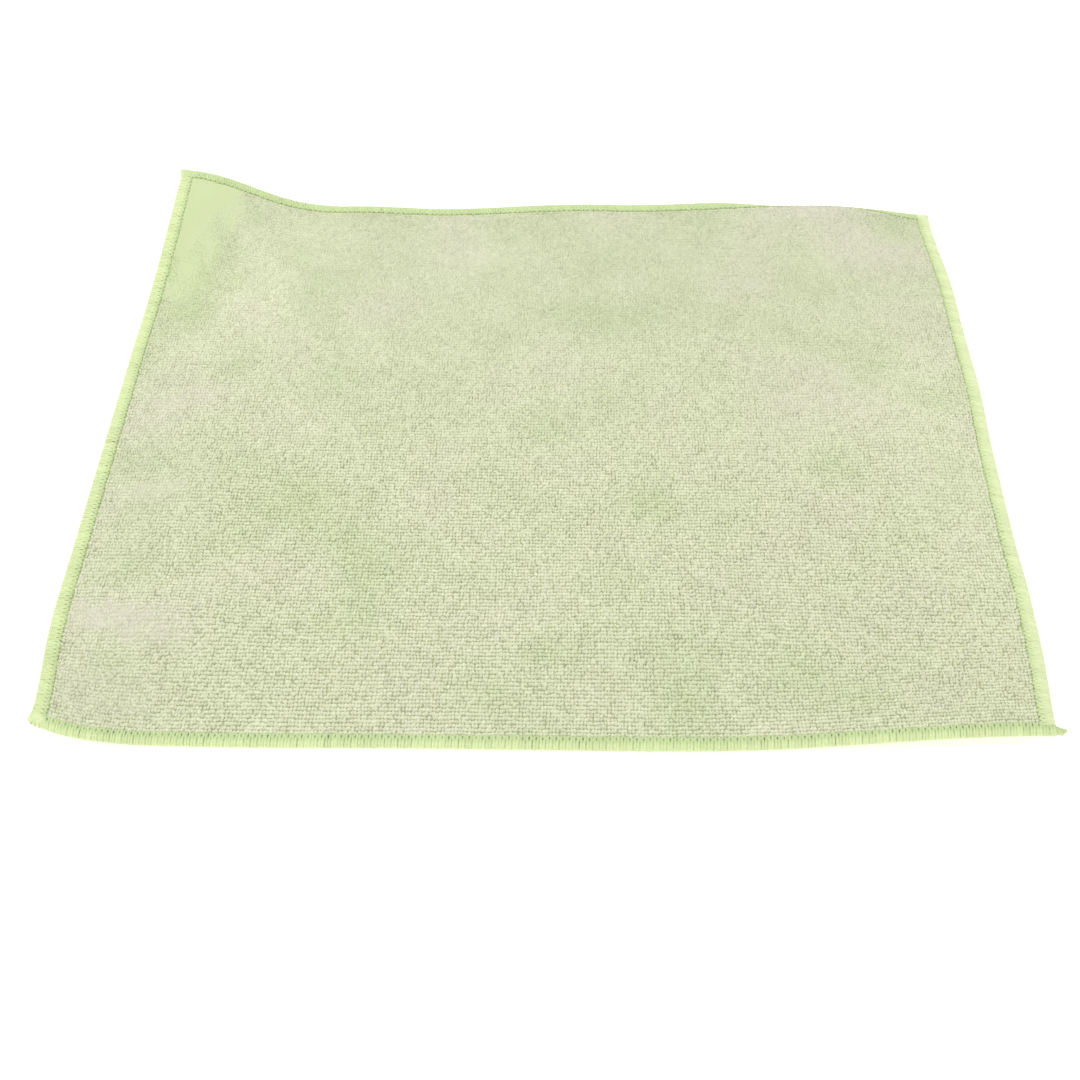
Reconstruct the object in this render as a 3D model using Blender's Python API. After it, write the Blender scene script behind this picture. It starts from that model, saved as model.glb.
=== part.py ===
"""A square terry cleaning cloth that lies nearly flat, with a thread edging sewn over its four sides.

Metres, +Z up. X runs along the front side, to the right, and Y from the front side to the back.
The sheet and the four runs of edging are worked out on the flat cut cloth, where a point has the
places a along the front side and b towards the back, both from the middle. lay() then says where
that point of the cloth lies, so all pieces share the same lifted corners, swells and rolled edge.
"""

import math
from collections import namedtuple

import bpy

# Driving dimensions
SIDE = 0.350  # the cloth's side, over the edging
PILE_THICKNESS = 0.0024  # of the sheet, with the pile on both faces
PINCHED_THICKNESS = 0.0010  # of the sheet where the edging's thread holds it
EDGING_WIDTH = 0.0054
THREAD_WALL = 0.0006  # of thread over and under the pinched cloth
EDGE_WALL = 0.0012  # of thread outside the cloth's cut edge
PIECE_GAP = 0.0003
PINCH_RAMP = 0.0012  # over which the pile thins down towards the edging
CELLS = 30  # of the mesh, across the sheet between its ramps
CROWDING = 0.45  # how much closer the mesh lines are near the sides, from 0 to 1
EDGING_ROUND_WIDTH = 0.0014  # how far in the edging's rounded outer side reaches
EDGING_ROUND_INSET = 0.0004  # of the rounding's shoulder, which lies well above and below the middle
EDGING_ROUND_LEVEL = 0.3  # the shoulder's level, as a share of half the edging's thickness
SMOOTH_ANGLE = 40  # degrees, up to which two faces are shaded as one surface

# Worked out from them
HALF = SIDE / 2
SLOT_LOW = THREAD_WALL
SHEET_LOW = THREAD_WALL + PIECE_GAP
SHEET_HIGH = SHEET_LOW + PINCHED_THICKNESS
SLOT_HIGH = SHEET_HIGH + PIECE_GAP
EDGING_THICKNESS = SLOT_HIGH + THREAD_WALL
SHEET_INSET = EDGE_WALL + PIECE_GAP  # from the outer edge to the cloth's cut edge
LIP = EDGING_WIDTH + PIECE_GAP  # from the outer edge to where the pile starts to thicken

# How the cloth lies. rise is a height above the surface, and reach or half is how far a form goes
# before it fades out. sharpness is 1 for a soft form and less for one that is pointed in its middle.
Corner = namedtuple("Corner", "side_a side_b rise reach_a reach_b sharpness")
CORNERS = [
    Corner(side_a=-1, side_b=-1, rise=0.0050, reach_a=0.050, reach_b=0.070, sharpness=0.42),
    Corner(side_a=1, side_b=-1, rise=0.0056, reach_a=0.120, reach_b=0.075, sharpness=1.0),
    Corner(side_a=-1, side_b=1, rise=0.0192, reach_a=0.080, reach_b=0.108, sharpness=0.95),
]
CORNER_ROUNDNESS = 1.3  # of a corner's height lines: 1 is straight across the corner, 2 an ellipse

Swell = namedtuple("Swell", "a b half_a half_b turn rise")
SWELLS = [
    Swell(a=-0.136, b=-0.108, half_a=0.052, half_b=0.022, turn=-12, rise=0.0020),
    Swell(a=-0.132, b=-0.030, half_a=0.034, half_b=0.028, turn=20, rise=0.0014),
    Swell(a=-0.070, b=0.132, half_a=0.066, half_b=0.026, turn=4, rise=0.0012),
    Swell(a=0.140, b=0.002, half_a=0.038, half_b=0.066, turn=14, rise=0.0021),
    Swell(a=0.076, b=0.080, half_a=0.060, half_b=0.040, turn=24, rise=0.0012),
    Swell(a=0.044, b=-0.104, half_a=0.074, half_b=0.034, turn=-8, rise=0.0013),
    Swell(a=-0.088, b=0.175, half_a=0.042, half_b=0.030, turn=0, rise=0.0012),
    Swell(a=0.018, b=0.175, half_a=0.076, half_b=0.040, turn=0, rise=0.0032),
    Swell(a=0.098, b=0.175, half_a=0.074, half_b=0.046, turn=0, rise=0.0056),
]

# The stretch of the back side that rolls down to the surface behind a low crest. The crest fades out
# over front_reach, and the corners and swells come back over edge_reach, both from the back edge.
Roll = namedtuple("Roll", "a half_a crest_inset crest_rise front_reach edge_reach")
BACK_ROLL = Roll(
    a=0.124, half_a=0.057, crest_inset=0.0080, crest_rise=0.0053, front_reach=0.040, edge_reach=0.018
)

# Where a side leaves the straight line: along is the place on the side, to the right as seen from
# outside it, and inward is how far the side is pulled in there, or out if it is below 0.
Pull = namedtuple("Pull", "side along half inward sharpness")
PULLS = [
    Pull(side="front", along=-0.175, half=0.045, inward=0.0056, sharpness=0.42),
    Pull(side="front", along=-0.100, half=0.060, inward=-0.0006, sharpness=1.0),
    Pull(side="front", along=0.175, half=0.150, inward=0.0040, sharpness=1.0),
    Pull(side="right", along=-0.175, half=0.060, inward=0.0032, sharpness=1.0),
    Pull(side="right", along=-0.095, half=0.036, inward=-0.0007, sharpness=1.0),
    Pull(side="right", along=0.036, half=0.048, inward=-0.0009, sharpness=1.0),
    Pull(side="right", along=0.175, half=0.075, inward=0.0036, sharpness=1.0),
    Pull(side="back", along=-0.175, half=0.024, inward=0.0014, sharpness=1.0),
    Pull(side="back", along=-0.128, half=0.054, inward=-0.0022, sharpness=1.0),
    Pull(side="left", along=-0.175, half=0.118, inward=0.0056, sharpness=1.0),
    Pull(side="left", along=0.175, half=0.070, inward=0.0040, sharpness=0.9),
]
PULL_DEPTH = 0.060  # from the side to where the cloth isn't pulled any more

# The end of the sewing chain at the front right corner, as narrower and narrower sections.
TailSection = namedtuple("TailSection", "beyond width thickness")
TAIL = [
    TailSection(beyond=0.0007, width=0.0046, thickness=0.0024),
    TailSection(beyond=0.0018, width=0.0030, thickness=0.0018),
    TailSection(beyond=0.0032, width=0.0013, thickness=0.0011),
]
TAIL_INSET = 0.0027  # from the front edge to the chain's middle

# The finishes: a linear colour and a roughness
TERRY_COLOUR, TERRY_ROUGHNESS = (0.66, 0.72, 0.45), 0.95
THREAD_COLOUR, THREAD_ROUGHNESS = (0.62, 0.80, 0.30), 0.70

SIDES = ["front", "right", "back", "left"]  # each run ends round the corner that it meets last


def fade(share):
    """1 at 0, falling along a cosine to 0 at 1, where it stays."""
    return math.cos(math.pi / 2 * min(share, 1.0)) ** 2


def corner_height(corner, a, b):
    """The height of a lifted corner, highest at its tip."""
    share_a = max(HALF - corner.side_a * a, 0.0) / corner.reach_a
    share_b = max(HALF - corner.side_b * b, 0.0) / corner.reach_b
    share = (share_a**CORNER_ROUNDNESS + share_b**CORNER_ROUNDNESS) ** (1 / CORNER_ROUNDNESS)
    return corner.rise * fade(share**corner.sharpness)


def swell_height(swell, a, b):
    """The height of one low swell, highest at its middle."""
    turn = math.radians(swell.turn)
    across = (a - swell.a) * math.cos(turn) + (b - swell.b) * math.sin(turn)
    along = (b - swell.b) * math.cos(turn) - (a - swell.a) * math.sin(turn)
    return swell.rise * fade(math.hypot(across / swell.half_a, along / swell.half_b))


def roll_height(a, b):
    """The height of the back side's crest: up from the edge to the crest, then down towards the front."""
    inset = max(HALF - b, 0.0)
    rounding = BACK_ROLL.crest_inset - LIP
    slope = BACK_ROLL.crest_rise / (LIP + rounding / 2)
    if inset < LIP:
        height = slope * inset  # straight under the edging
    elif inset < BACK_ROLL.crest_inset:
        height = BACK_ROLL.crest_rise - slope * (BACK_ROLL.crest_inset - inset) ** 2 / (2 * rounding)
    else:
        height = BACK_ROLL.crest_rise * fade((inset - BACK_ROLL.crest_inset) / BACK_ROLL.front_reach)
    return height * fade(abs(a - BACK_ROLL.a) / BACK_ROLL.half_a)


def turned(a, b, quarters):
    """The point after this many quarter turns to the left about the cloth's middle."""
    for _ in range(quarters % 4):
        a, b = -b, a
    return a, b


def pulled(a, b):
    """Where the point lies in plan, with every side pulled out of its straight line."""
    x, y = a, b
    for pull in PULLS:
        quarters = SIDES.index(pull.side)
        along, across = turned(a, b, -quarters)
        inset = max(across + HALF, 0.0)
        share = abs(along - pull.along) / pull.half
        inward = pull.inward * fade(share**pull.sharpness) * fade(inset / PULL_DEPTH)
        move_x, move_y = turned(0.0, inward, quarters)
        x, y = x + move_x, y + move_y
    return x, y


def lay(a, b):
    """Where the point of the cloth lies: x, y and the height of the cloth's underside there."""
    x, y = pulled(a, b)
    height = sum(corner_height(corner, a, b) for corner in CORNERS)
    height += sum(swell_height(swell, a, b) for swell in SWELLS)
    rolled = fade(abs(a - BACK_ROLL.a) / BACK_ROLL.half_a) * fade((HALF - b) / BACK_ROLL.edge_reach)
    return x, y, height * (1 - rolled) + roll_height(a, b)


def mesh_lines():
    """The places of the mesh lines along one side, which all pieces share."""
    inner_half = HALF - LIP - PINCH_RAMP
    inner = []
    for step in range(CELLS + 1):
        share = 2 * step / CELLS - 1
        inner.append(inner_half * ((1 - CROWDING) * share + CROWDING * math.sin(math.pi / 2 * share)))
    edge = [HALF - SHEET_INSET, HALF - LIP]
    return [-place for place in edge] + inner + edge[::-1]


def material(name, colour, roughness):
    made = bpy.data.materials.new(name)
    made.use_nodes = True
    surface = made.node_tree.nodes["Principled BSDF"]
    surface.inputs["Base Color"].default_value = (*colour, 1.0)
    surface.inputs["Roughness"].default_value = roughness
    surface.inputs["Metallic"].default_value = 0.0
    made.diffuse_color = (*colour, 1.0)
    return made


def add_object(name, points, faces, surface):
    mesh = bpy.data.meshes.new(name)
    mesh.from_pydata(points, [], faces)
    mesh.materials.append(surface)
    mesh.shade_smooth()
    mesh.set_sharp_from_angle(angle=math.radians(SMOOTH_ANGLE))
    made = bpy.data.objects.new(name, mesh)
    bpy.context.scene.collection.objects.link(made)
    return made


def sheet_section(a, b):
    """The sheet's lowest and highest level above its underside, thinner inside the edging."""
    inset = HALF - max(abs(a), abs(b))
    pinched = min(max((LIP + PINCH_RAMP - inset) / PINCH_RAMP, 0.0), 1.0)
    low = SHEET_LOW * pinched
    high = PILE_THICKNESS + (SHEET_HIGH - PILE_THICKNESS) * pinched
    return low, high


def split(square, in_side_band):
    """A square of the sheet as two triangles. Inside the edging its diagonal is the one that the
    edging's slot has, so that the cloth and the slot stay parallel where both are twisted."""
    first, second, third, fourth = square
    if in_side_band:
        return (first, second, fourth), (second, third, fourth)
    return (first, second, third), (first, third, fourth)


def make_sheet(surface):
    """One closed sheet: an upper and a lower grid on the same mesh lines, joined round the rim."""
    lines = mesh_lines()
    count = len(lines)
    lower, upper = [], []
    for b in lines:
        for a in lines:
            x, y, height = lay(a, b)
            low, high = sheet_section(a, b)
            lower.append((x, y, height + low))
            upper.append((x, y, height + high))
    top = count * count
    faces = []
    for row in range(count - 1):
        for column in range(count - 1):
            first = row * count + column
            square = (first, first + 1, first + count + 1, first + count)
            for triangle in split(square, in_side_band=column in (0, count - 2)):
                faces.append(tuple(top + point for point in triangle))
                faces.append(triangle[::-1])
    front = list(range(count))
    right = [row * count + count - 1 for row in range(count)]
    back = [count * count - 1 - column for column in range(count)]
    left = [(count - 1 - row) * count for row in range(count)]
    for side in (front, right, back, left):
        for here, after in zip(side, side[1:]):
            faces.append((here, after, top + after, top + here))
    return add_object("terry_sheet", lower + upper, faces, surface)


def skin_section():
    """The edging's outer skin as (inset, level), from the lip's lower inner corner round the outside."""
    middle = EDGING_THICKNESS / 2
    shoulder = middle * EDGING_ROUND_LEVEL
    return [
        (EDGING_WIDTH, SLOT_LOW),
        (EDGING_WIDTH, 0.0),
        (EDGING_ROUND_WIDTH, 0.0),
        (EDGING_ROUND_INSET, shoulder),
        (0.0, middle),
        (EDGING_ROUND_INSET, EDGING_THICKNESS - shoulder),
        (EDGING_ROUND_WIDTH, EDGING_THICKNESS),
        (EDGING_WIDTH, EDGING_THICKNESS),
        (EDGING_WIDTH, SLOT_HIGH),
    ]


SLOT_SECTION = [(EDGE_WALL, SLOT_HIGH), (EDGE_WALL, SLOT_LOW)]  # the slot's two inner corners


def tail_section(section):
    """The skin drawn together round the middle of the chain."""
    across = section.width / EDGING_WIDTH
    up = section.thickness / EDGING_THICKNESS
    drawn = []
    for inset, level in skin_section():
        near = TAIL_INSET + (inset - EDGING_WIDTH / 2) * across
        drawn.append((near, EDGING_THICKNESS / 2 + (level - EDGING_THICKNESS / 2) * up))
    return drawn


def place_on_side(side, along, inset, level):
    """A point of the edging: along the run from its start, in from the outer edge, and up."""
    x, y, height = lay(*turned(along, inset - HALF, SIDES.index(side)))
    return x, y, height + level


def make_edging(side, surface):
    """One run of edging: a strip with a slot for the cloth. It starts beside the run before it, a lip's
    width from the corner, and is closed at the corner where it ends."""
    slotted = mesh_lines()[1:] + [HALF - EDGE_WALL]
    sections = [(along, skin_section() + SLOT_SECTION) for along in slotted]
    closed = [(HALF, skin_section())]
    if side == "front":
        closed += [(HALF + section.beyond, tail_section(section)) for section in TAIL]
    points, first_points = [], []
    for along, section in sections + closed:
        first_points.append(len(points))
        points += [place_on_side(side, along, inset, level) for inset, level in section]
    skin, whole = len(skin_section()), len(skin_section() + SLOT_SECTION)
    faces = [tuple(range(whole))]
    for number, (here, after) in enumerate(zip(first_points, first_points[1:])):
        ring = whole if number < len(sections) - 1 else skin
        for point in range(ring):
            turn = (point + 1) % ring
            if point == skin - 1:  # the slot's upper wall, with the diagonal out to the cut edge
                faces.append((here + point, after + point, here + turn))
                faces.append((after + point, after + turn, here + turn))
            else:
                faces.append((here + point, after + point, after + turn))
                faces.append((here + point, after + turn, here + turn))
    wall = first_points[len(sections) - 1]
    faces.append((wall, wall + whole - 1, wall + skin, wall + skin - 1))
    faces.append(tuple(first_points[-1] + point for point in reversed(range(skin))))
    return add_object(f"overlock_{side}", points, faces, surface)


def stand_on_origin(pieces):
    """Moves the pieces so that the middle of the cloth's bounding box, at its base, is the origin."""
    points = [vertex.co for piece in pieces for vertex in piece.data.vertices]
    middle_x = (min(p.x for p in points) + max(p.x for p in points)) / 2
    middle_y = (min(p.y for p in points) + max(p.y for p in points)) / 2
    for piece in pieces:
        for vertex in piece.data.vertices:
            vertex.co.x -= middle_x
            vertex.co.y -= middle_y


def main():
    for item in list(bpy.data.objects):
        bpy.data.objects.remove(item, do_unlink=True)
    terry = material("terry", TERRY_COLOUR, TERRY_ROUGHNESS)
    thread = material("thread", THREAD_COLOUR, THREAD_ROUGHNESS)
    pieces = [make_sheet(terry)] + [make_edging(side, thread) for side in SIDES]
    stand_on_origin(pieces)


main()
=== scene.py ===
import bpy
import numpy as np
from mathutils import Matrix, Vector


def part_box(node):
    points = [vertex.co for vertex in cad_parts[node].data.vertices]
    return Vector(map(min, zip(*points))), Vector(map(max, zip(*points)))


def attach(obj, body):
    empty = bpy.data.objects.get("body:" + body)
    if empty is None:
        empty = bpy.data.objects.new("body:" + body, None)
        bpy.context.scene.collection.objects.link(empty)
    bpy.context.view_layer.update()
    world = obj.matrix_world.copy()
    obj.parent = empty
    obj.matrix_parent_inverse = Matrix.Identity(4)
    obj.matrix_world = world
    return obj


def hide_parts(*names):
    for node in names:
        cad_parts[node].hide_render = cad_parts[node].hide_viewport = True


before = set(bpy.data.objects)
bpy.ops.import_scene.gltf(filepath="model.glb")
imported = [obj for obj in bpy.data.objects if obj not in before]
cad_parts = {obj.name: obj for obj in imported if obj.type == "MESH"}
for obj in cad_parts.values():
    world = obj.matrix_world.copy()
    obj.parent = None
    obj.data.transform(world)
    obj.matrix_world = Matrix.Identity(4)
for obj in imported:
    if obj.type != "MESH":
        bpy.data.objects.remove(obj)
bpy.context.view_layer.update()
print("frame loaded:", ", ".join(sorted(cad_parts)))

cloth = {
    "side": 0.350,  # over the edging
    "edging": 0.0054,  # width of the overlocked band
    "cutInset": 0.0015,  # from the outer edge to the cloth's cut edge
    "pinchLow": 0.0009,  # the cloth's faces inside the edging
    "pinchHigh": 0.0019,
    "pinchRamp": 0.0015,  # over which the cloth thickens beside the edging
    "groundLow": 0.0,  # the underside's pile lies on the table
    "groundHigh": 0.00170,  # the knitted ground, which the upper loops stand on
}
half = cloth["side"] / 2

# How the cloth lies, the same forms as in its solids
corners = [  # lifted: the signs of a and b say which, and sharpness is 1 for soft, less for pointed
    dict(sideA=-1, sideB=-1, rise=0.0050, reachA=0.050, reachB=0.070, sharpness=0.42),
    dict(sideA=1, sideB=-1, rise=0.0056, reachA=0.120, reachB=0.075, sharpness=1.0),
    dict(sideA=-1, sideB=1, rise=0.0192, reachA=0.080, reachB=0.108, sharpness=0.95),
]
cornerRoundness = 1.3
swells = [  # low oval humps: middle, half sizes, turn in degrees, height
    dict(a=-0.136, b=-0.108, halfA=0.052, halfB=0.022, turn=-12, rise=0.0020),
    dict(a=-0.132, b=-0.030, halfA=0.034, halfB=0.028, turn=20, rise=0.0014),
    dict(a=-0.070, b=0.132, halfA=0.066, halfB=0.026, turn=4, rise=0.0012),
    dict(a=0.140, b=0.002, halfA=0.038, halfB=0.066, turn=14, rise=0.0021),
    dict(a=0.076, b=0.080, halfA=0.060, halfB=0.040, turn=24, rise=0.0012),
    dict(a=0.044, b=-0.104, halfA=0.074, halfB=0.034, turn=-8, rise=0.0013),
    dict(a=-0.088, b=0.175, halfA=0.042, halfB=0.030, turn=0, rise=0.0012),
    dict(a=0.018, b=0.175, halfA=0.076, halfB=0.040, turn=0, rise=0.0032),
    dict(a=0.098, b=0.175, halfA=0.074, halfB=0.046, turn=0, rise=0.0056),
]
backRoll = {  # the stretch of the back side that rolls down to the surface behind a low crest
    "a": 0.124,  # its middle
    "halfA": 0.057,
    "lip": 0.0057,  # the straight slope, from the edge
    "crestInset": 0.0080,
    "crestRise": 0.0053,
    "frontReach": 0.040,  # over which the crest falls towards the front
    "edgeReach": 0.018,  # over which the cloth's other forms come back
}
pulls = [  # where a side leaves the straight line, with the middle and half length of each stretch
    dict(side="front", along=-0.175, half=0.045, inward=0.0056, sharpness=0.42),
    dict(side="front", along=-0.100, half=0.060, inward=-0.0006, sharpness=1.0),
    dict(side="front", along=0.175, half=0.150, inward=0.0040, sharpness=1.0),
    dict(side="right", along=-0.175, half=0.060, inward=0.0032, sharpness=1.0),
    dict(side="right", along=-0.095, half=0.036, inward=-0.0007, sharpness=1.0),
    dict(side="right", along=0.036, half=0.048, inward=-0.0009, sharpness=1.0),
    dict(side="right", along=0.175, half=0.075, inward=0.0036, sharpness=1.0),
    dict(side="back", along=-0.175, half=0.024, inward=0.0014, sharpness=1.0),
    dict(side="back", along=-0.128, half=0.054, inward=-0.0022, sharpness=1.0),
    dict(side="left", along=-0.175, half=0.118, inward=0.0056, sharpness=1.0),
    dict(side="left", along=0.175, half=0.070, inward=0.0040, sharpness=0.9),
]
pullDepth = 0.060  # how far into the cloth a pull is felt
sideNames = ["front", "right", "back", "left"]  # each side is the one before it, a quarter turn to the left


# 1 at share 0, falling as a squared cosine to 0 at share 1
def fade(share):
    return np.cos(np.pi / 2 * np.clip(share, 0, 1)) ** 2


# (a, b) -> (-b, a), once for each quarter turn to the left
def turned(a, b, quarters):
    for _ in range(quarters % 4):
        a, b = -b, a
    return a, b


# Distance from an oval's middle, across and along it in its own half sizes: 0 in the middle, 1 on the outline
def ovalShare(a, b, oval):
    cosine, sine = np.cos(np.radians(oval["turn"])), np.sin(np.radians(oval["turn"]))
    across = (a - oval["a"]) * cosine + (b - oval["b"]) * sine
    along = (b - oval["b"]) * cosine - (a - oval["a"]) * sine
    return np.hypot(across / oval["halfA"], along / oval["halfB"])


# Distance from a corner's tip by a superellipse: 0 at the tip, 1 at the end of its reach
def cornerShare(a, b, corner, roundness):
    shareA = np.maximum(half - corner["sideA"] * a, 0) / corner["reachA"]
    shareB = np.maximum(half - corner["sideB"] * b, 0) / corner["reachB"]
    return (shareA**roundness + shareB**roundness) ** (1 / roundness)


# Height of the rolled back side: straight up from the edge, rounded over the crest by a parabola, then faded
def rollHeight(a, b):
    inset = np.maximum(half - b, 0)
    rounding = backRoll["crestInset"] - backRoll["lip"]
    slope = backRoll["crestRise"] / (backRoll["lip"] + rounding / 2)
    rounded = backRoll["crestRise"] - slope * (backRoll["crestInset"] - inset) ** 2 / (2 * rounding)
    front = backRoll["crestRise"] * fade((inset - backRoll["crestInset"]) / backRoll["frontReach"])
    height = np.where(inset < backRoll["lip"], slope * inset, rounded)
    height = np.where(inset < backRoll["crestInset"], height, front)
    return height * fade(np.abs(a - backRoll["a"]) / backRoll["halfA"])


# Plan: the flat place plus each side's pull, faded along the side and inwards. Height: the corners, each
# faded by its superellipse distance from the tip, plus the oval swells, blended into the rolled side.
def layCloth(a, b, level):
    a, b = np.broadcast_arrays(np.asarray(a, float), np.asarray(b, float))
    x, y = a.copy(), b.copy()
    for pull in pulls:
        quarters = sideNames.index(pull["side"])
        along, across = turned(a, b, -quarters)
        share = (np.abs(along - pull["along"]) / pull["half"]) ** pull["sharpness"]
        inward = pull["inward"] * fade(share) * fade(np.maximum(across + half, 0) / pullDepth)
        moveX, moveY = turned(np.zeros_like(a), inward, quarters)
        x, y = x + moveX, y + moveY
    height = np.zeros_like(a)
    for corner in corners:
        height += corner["rise"] * fade(cornerShare(a, b, corner, cornerRoundness) ** corner["sharpness"])
    for swell in swells:
        height += swell["rise"] * fade(ovalShare(a, b, swell))
    rolled = fade(np.abs(a - backRoll["a"]) / backRoll["halfA"]) * fade((half - b) / backRoll["edgeReach"])
    height = height * (1 - rolled) + rollHeight(a, b) + level
    return np.stack([x - middle[0], y - middle[1], height], axis=-1)


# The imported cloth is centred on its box. Its sheet's box says how far the plan above has to move.
middle = np.zeros(2)
cut = np.linspace(cloth["cutInset"] - half, half - cloth["cutInset"], 400)
rim = [layCloth(*turned(cut, np.full_like(cut, cut[0]), quarters), 0) for quarters in range(4)]
middle = np.concatenate(rim)[:, :2].min(axis=0) - np.array(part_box("terry_sheet")[0])[:2]
print("cloth placed, plan moved by", middle.round(5))


# Smooth random hills from 0 to 1: random heights on a square net of this cell size, blended by smoothsteps
def softNoise(a, b, cell, seed):
    netLines, margin = 96, 3  # the net starts a margin of cells outside the cloth, and repeats past its lines
    heights = np.random.default_rng(seed).random((netLines, netLines))
    columns, rows = (a + half) / cell + margin, (b + half) / cell + margin
    column, row = np.floor(columns).astype(int), np.floor(rows).astype(int)
    shareA, shareB = columns - column, rows - row
    shareA, shareB = shareA * shareA * (3 - 2 * shareA), shareB * shareB * (3 - 2 * shareB)
    column, row = column % (netLines - 1), row % (netLines - 1)
    front = heights[row, column] * (1 - shareA) + heights[row, column + 1] * shareA
    back = heights[row + 1, column] * (1 - shareA) + heights[row + 1, column + 1] * shareA
    return front * (1 - shareB) + back * shareB


# A mesh object at the origin from points and arrays of faces, one array for each number of corners.
# Attributes are one number or vector a point. A bake map has a flat place for each corner, in face order.
def makePiece(name, points, faceArrays, material, attributes=None, bakeMap=None):
    mesh = bpy.data.meshes.new(name)
    cornerPoints = np.concatenate([faces.ravel() for faces in faceArrays])
    sizes = np.concatenate([np.full(len(faces), faces.shape[1]) for faces in faceArrays])
    mesh.vertices.add(len(points))
    mesh.vertices.foreach_set("co", np.asarray(points, np.float32).ravel())
    mesh.loops.add(len(cornerPoints))
    mesh.loops.foreach_set("vertex_index", cornerPoints.astype(np.int32))
    mesh.polygons.add(len(sizes))
    mesh.polygons.foreach_set("loop_start", (np.cumsum(sizes) - sizes).astype(np.int32))
    mesh.update(calc_edges=True)
    mesh.shade_smooth()
    for key, values in (attributes or {}).items():
        values = np.asarray(values, np.float32)
        kind, field = ("FLOAT", "value") if values.ndim == 1 else ("FLOAT_VECTOR", "vector")
        mesh.attributes.new(key, kind, "POINT").data.foreach_set(field, values.ravel())
    if bakeMap is not None:
        layer = mesh.uv_layers.new(name="OFBake")
        layer.data.foreach_set("uv", np.asarray(bakeMap, np.float32).ravel())
    mesh.materials.append(material)
    piece = bpy.data.objects.new(name, mesh)
    bpy.context.scene.collection.objects.link(piece)
    print("made", name, "with", int((sizes - 2).sum()), "triangles")
    return piece


# A wire wraps a node's socket. Arithmetic on wires adds Math nodes.
class Wire:
    def __init__(self, tree, socket=None):
        self.tree, self.socket = tree, socket

    # Any node: its type, its settings, then its inputs by name or number. Settings come first.
    def node(self, kind, settings=None, inputs=None, output=0):
        made = self.tree.nodes.new("ShaderNode" + kind)
        for key, value in (settings or {}).items():
            setattr(made, key, value)
        for key, value in (inputs or {}).items():
            if isinstance(value, Wire):
                self.tree.links.new(value.socket, made.inputs[key])
            else:
                made.inputs[key].default_value = value
        return Wire(self.tree, made.outputs[output])

    def maths(self, operation, *values):
        return self.node("Math", {"operation": operation}, dict(enumerate(values)))

    def __add__(self, other):
        return self.maths("ADD", self, other)

    def __radd__(self, other):
        return self.maths("ADD", other, self)

    def __sub__(self, other):
        return self.maths("SUBTRACT", self, other)

    def __rsub__(self, other):
        return self.maths("SUBTRACT", other, self)

    def __mul__(self, other):
        return self.maths("MULTIPLY", self, other)

    def __rmul__(self, other):
        return self.maths("MULTIPLY", other, self)

    # 0 up to low, 1 from high, smooth between
    def between(self, low, high):
        settings = {"interpolation_type": "SMOOTHSTEP"}
        return self.node("MapRange", settings, {"Value": self, "From Min": low, "From Max": high})

    # One of the mesh's attributes, as a number or as a vector
    def attribute(self, name, vector=False):
        return self.node("Attribute", {"attribute_name": name}, None, "Vector" if vector else "Fac")

    # Object coordinates, stretched by three scales
    def place(self, scale=(1, 1, 1)):
        coordinates = self.node("TexCoord", None, None, "Object")
        return self.node("Mapping", None, {"Vector": coordinates, "Scale": scale})

    def noise(self, place, scale, detail=2.0, roughness=0.5):
        inputs = {"Vector": place, "Scale": scale, "Detail": detail, "Roughness": roughness}
        return self.node("TexNoise", None, inputs, "Fac")

    # From one colour to another by a share
    def mix(self, first, second, share):
        # A Mix node has sockets of one name for each kind: 6, 7 and output 2 are the colours
        return self.node("Mix", {"data_type": "RGBA"}, {0: share, 6: first, 7: second}, 2)

    # A colour times a number
    def shaded(self, number):
        grey = self.node("CombineColor", None, {"Red": number, "Green": number, "Blue": number})
        return self.node("VectorMath", {"operation": "MULTIPLY"}, {0: self, 1: grey})


def newMaterial(name, settings):
    made = bpy.data.materials.new(name)
    made.use_nodes = True
    surface = made.node_tree.nodes["Principled BSDF"]
    for key, value in settings.items():
        surface.inputs[key].default_value = value
    return made, Wire(made.node_tree), surface


def connect(wire, surface, name):
    wire.tree.links.new(wire.socket, surface.inputs[name])


# The pile: loops in ridges that run from front to back
pile = {
    "ridges": 306,  # across the whole cloth
    "rows": 186,
    "inset": 0.0053,  # of the outermost loops' middles
    "width": 1.95,  # of a loop's foot, in ridge pitches, so that loops lean on each other
    "length": 1.80,  # in row pitches
    "shoulder": 0.06,  # how square its outline is, up to 0.5
    "crest": 0.10,  # half length of its top
    "height": 0.00108,
    "sunk": 0.00025,  # into the ground
    "wander": (0.00030, 0.00022),  # how far a ridge strays sideways and a row lengthways
    "wanderCell": 0.0045,
    "shake": (0.11, 0.03),  # how far each loop is off its place, in pitches across and along a ridge
    "turn": 10,  # degrees either way
    "lean": (0.00018, 0.00008),
    "sizes": 0.14,  # how much loops differ in width
    "lengths": 0.12,  # in length
    "heights": 0.15,
    "sizesLimit": 1.5,  # the most that widths and lengths differ, in those steps
    "heightsLimit": 2,  # and heights and turns
    "hills": (0.86, 0.28),  # how low the pile is at its lowest, and how much its gentle hills add
    "hillCell": 0.006,
    "pointShake": 0.10,  # of each of a loop's points, as a share of the loop
    "crestShake": 0.00010,  # of the two points of its top, sideways
    "crestLevels": 0.10,  # and in height
    "yarnAcross": 9,  # the fibres' noise across a loop
    "yarnAlong": 4,
    "yarnUp": (3, 2),
    "yarnApart": 5,  # from one loop to the next
    "seed": 11,
    "tip": (0.780, 0.818, 0.584, 1),
    # darker: painted shade between the loops, at their feet
    "root": (0.650, 0.682, 0.464, 1),
    # pinkish beige: partly the pile's own colour, partly painted sheen where it meets the view at a grazing
    # angle
    "rosy": (0.800, 0.763, 0.634, 1),
    # painted green where the lifted back-left corner faces the camera and shows less sheen; also in random
    # blotches
    "greenFacingAndBlotches": (0.605, 0.695, 0.385, 1),
}

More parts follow.
